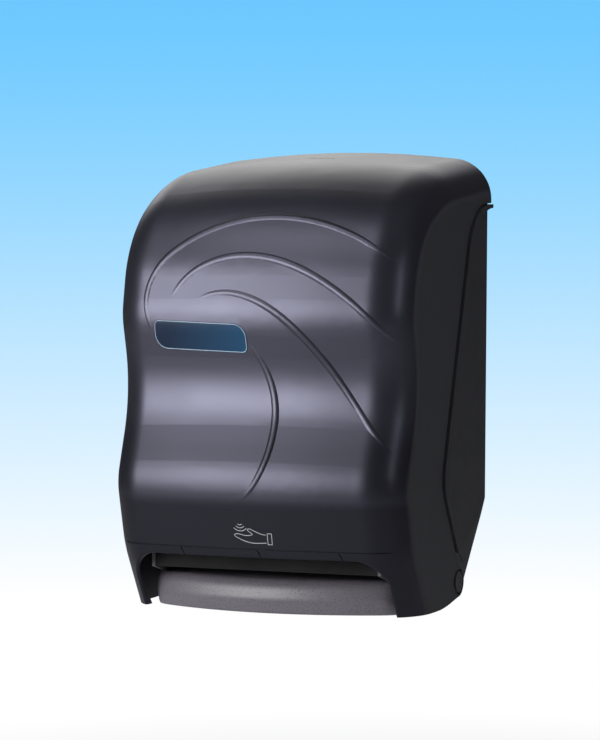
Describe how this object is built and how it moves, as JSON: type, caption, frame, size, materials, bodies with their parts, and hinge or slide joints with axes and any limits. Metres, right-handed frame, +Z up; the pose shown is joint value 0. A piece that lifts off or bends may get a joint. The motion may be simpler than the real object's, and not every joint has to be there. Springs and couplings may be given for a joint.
{
  "type": "automatic roll towel dispenser",
  "caption": "Touch-free wall dispenser for roll towels: smoke cover hinged at the bottom over a geared feed unit, roll arms, battery case and sensor.",
  "frame": {"origin": "centre of the four wall screw holes, on the wall face of the rear housing", "axes": "+Z up along the wall, +Y into the wall, so the front faces -Y, and +X to the right for someone who faces the front"},
  "size_m": [0.2986, 0.2468, 0.4185],
  "materials": {
    "smoke_cover": "satin smoke acrylic, slightly see-through",
    "badge_blue": "gloss blue badge",
    "charcoal": "matte charcoal moulding",
    "warm_grey": "matte warm grey, fine speckle",
    "black": "matte black moulding",
    "bright_steel": "brushed steel",
    "pin_steel": "polished steel",
    "sleeve_rubber": "matt rubber",
    "white_acetal": "off-white acetal",
    "grey_plastic": "matte light grey moulding",
    "pinion_brass": "machined brass",
    "motor_zinc": "zinc plated can",
    "sensor_dark": "dark infrared window",
    "lamp_red": "clear red lamp",
    "cell_wrap": "satin cell wrap",
    "board_green": "solder masked board",
    "button_green": "gloss button"
  },
  "bodies": {
    "housing": {"rear_housing": "charcoal", "left_hinge_pin": "charcoal", "right_hinge_pin": "charcoal", "tray": "warm_grey", "left_side_plate": "grey_plastic", "right_side_plate": "grey_plastic", "tie_rods": "bright_steel", "frame_screws": "bright_steel", "roller_bushings": "white_acetal", "idler_axle": "pin_steel", "gear_cover": "black", "motor": "motor_zinc", "motor_screws": "bright_steel", "pinch_rod": "pin_steel", "front_panel": "black", "tear_bar": "bright_steel", "tear_bar_screws": "bright_steel", "pinch_springs": "pin_steel", "sensor_box": "black", "sensor_lens": "sensor_dark", "indicator_lamp": "lamp_red", "arm_pins": "pin_steel", "battery_case": "black", "d_cells": "cell_wrap", "battery_contacts": "bright_steel", "battery_springs": "pin_steel", "circuit_board": "board_green", "board_posts": "pinion_brass", "board_screws": "bright_steel", "electronics_cover": "charcoal", "latch_keeper": "charcoal"},
    "cover": {"cover": "smoke_cover", "badge": "badge_blue", "latch_plate": "charcoal", "latch_spring": "pin_steel"},
    "latch": {"latch": "grey_plastic"},
    "left_arm": {"left_roll_arm": "charcoal"},
    "right_arm": {"right_roll_arm": "charcoal"},
    "left_hub": {"left_hub": "grey_plastic"},
    "right_hub": {"right_hub": "grey_plastic"},
    "roller": {"drive_roller": "black", "roller_sleeves": "sleeve_rubber", "drive_gear": "white_acetal"},
    "idler": {"idler_gear": "white_acetal"},
    "pinion": {"motor_pinion": "pinion_brass", "motor_shaft": "pin_steel"},
    "pinch_arm": {"pinch_arm": "grey_plastic"},
    "pinch_roller": {"pinch_roller": "black"},
    "battery_door": {"battery_door": "charcoal"},
    "length_switch": {"length_switch": "white_acetal"},
    "delay_switch": {"delay_switch": "white_acetal"},
    "feed_button": {"feed_button": "button_green"}
  },
  "joints": [
    {"name": "cover_hinge", "type": "hinge", "parent": "housing", "child": "cover", "pos_m": [0, -0.08, -0.193], "axis": [1, 0, 0], "range_deg": [0, 95]},
    {"name": "latch_slide", "type": "slide", "parent": "cover", "child": "latch", "axis": [0, 0, -1], "range_m": [0, 0.005], "stiffness_N_per_m": 400, "springref_m": -0.004, "deforming": ["latch_spring"]},
    {"name": "left_arm_hinge", "type": "hinge", "parent": "housing", "child": "left_arm", "pos_m": [-0.1185, -0.112, -0.064], "axis": [0, -1, 0], "range_deg": [0, 6], "stiffness_Nm_per_rad": 3, "springref_deg": -2.86},
    {"name": "right_arm_hinge", "type": "hinge", "parent": "housing", "child": "right_arm", "pos_m": [0.1185, -0.112, -0.064], "axis": [0, 1, 0], "range_deg": [0, 6], "stiffness_Nm_per_rad": 3, "springref_deg": -2.86},
    {"name": "left_hub_spin", "type": "hinge", "parent": "left_arm", "child": "left_hub", "pos_m": [-0.113, -0.112, 0.071], "axis": [1, 0, 0], "continuous": true},
    {"name": "right_hub_spin", "type": "hinge", "parent": "right_arm", "child": "right_hub", "pos_m": [0.113, -0.112, 0.071], "axis": [1, 0, 0], "continuous": true},
    {"name": "roller_spin", "type": "hinge", "parent": "housing", "child": "roller", "pos_m": [0, -0.158, -0.142], "axis": [1, 0, 0], "continuous": true},
    {"name": "idler_spin", "type": "hinge", "parent": "housing", "child": "idler", "pos_m": [0.116, -0.12769, -0.1245], "axis": [1, 0, 0], "continuous": true},
    {"name": "pinion_spin", "type": "hinge", "parent": "housing", "child": "pinion", "pos_m": [0.116, -0.10796, -0.11732], "axis": [1, 0, 0], "continuous": true},
    {"name": "pinch_arm_hinge", "type": "hinge", "parent": "housing", "child": "pinch_arm", "pos_m": [0, -0.188, -0.11], "axis": [-1, 0, 0], "range_deg": [0, 5], "stiffness_Nm_per_rad": 4, "springref_deg": -3.44},
    {"name": "pinch_roller_spin", "type": "hinge", "parent": "pinch_arm", "child": "pinch_roller", "pos_m": [0, -0.1811, -0.142], "axis": [1, 0, 0], "continuous": true},
    {"name": "battery_door_hinge", "type": "hinge", "parent": "housing", "child": "battery_door", "pos_m": [-0.0413, -0.044, -0.109], "axis": [1, 0, 0], "range_deg": [0, 95]},
    {"name": "length_slide", "type": "slide", "parent": "housing", "child": "length_switch", "axis": [1, 0, 0], "range_m": [0, 0.006]},
    {"name": "delay_slide", "type": "slide", "parent": "housing", "child": "delay_switch", "axis": [1, 0, 0], "range_m": [0, 0.006]},
    {"name": "feed_press", "type": "slide", "parent": "housing", "child": "feed_button", "axis": [0, 1, 0], "range_m": [0, 0.0025], "stiffness_N_per_m": 300, "springref_m": -0.002}
  ],
  "couplings": [
    {"joint": "idler_spin", "follows": "roller_spin", "ratio": -1.3333},
    {"joint": "pinion_spin", "follows": "roller_spin", "ratio": 3.3333},
    {"joint": "pinch_roller_spin", "follows": "roller_spin", "ratio": -1.3684}
  ]
}
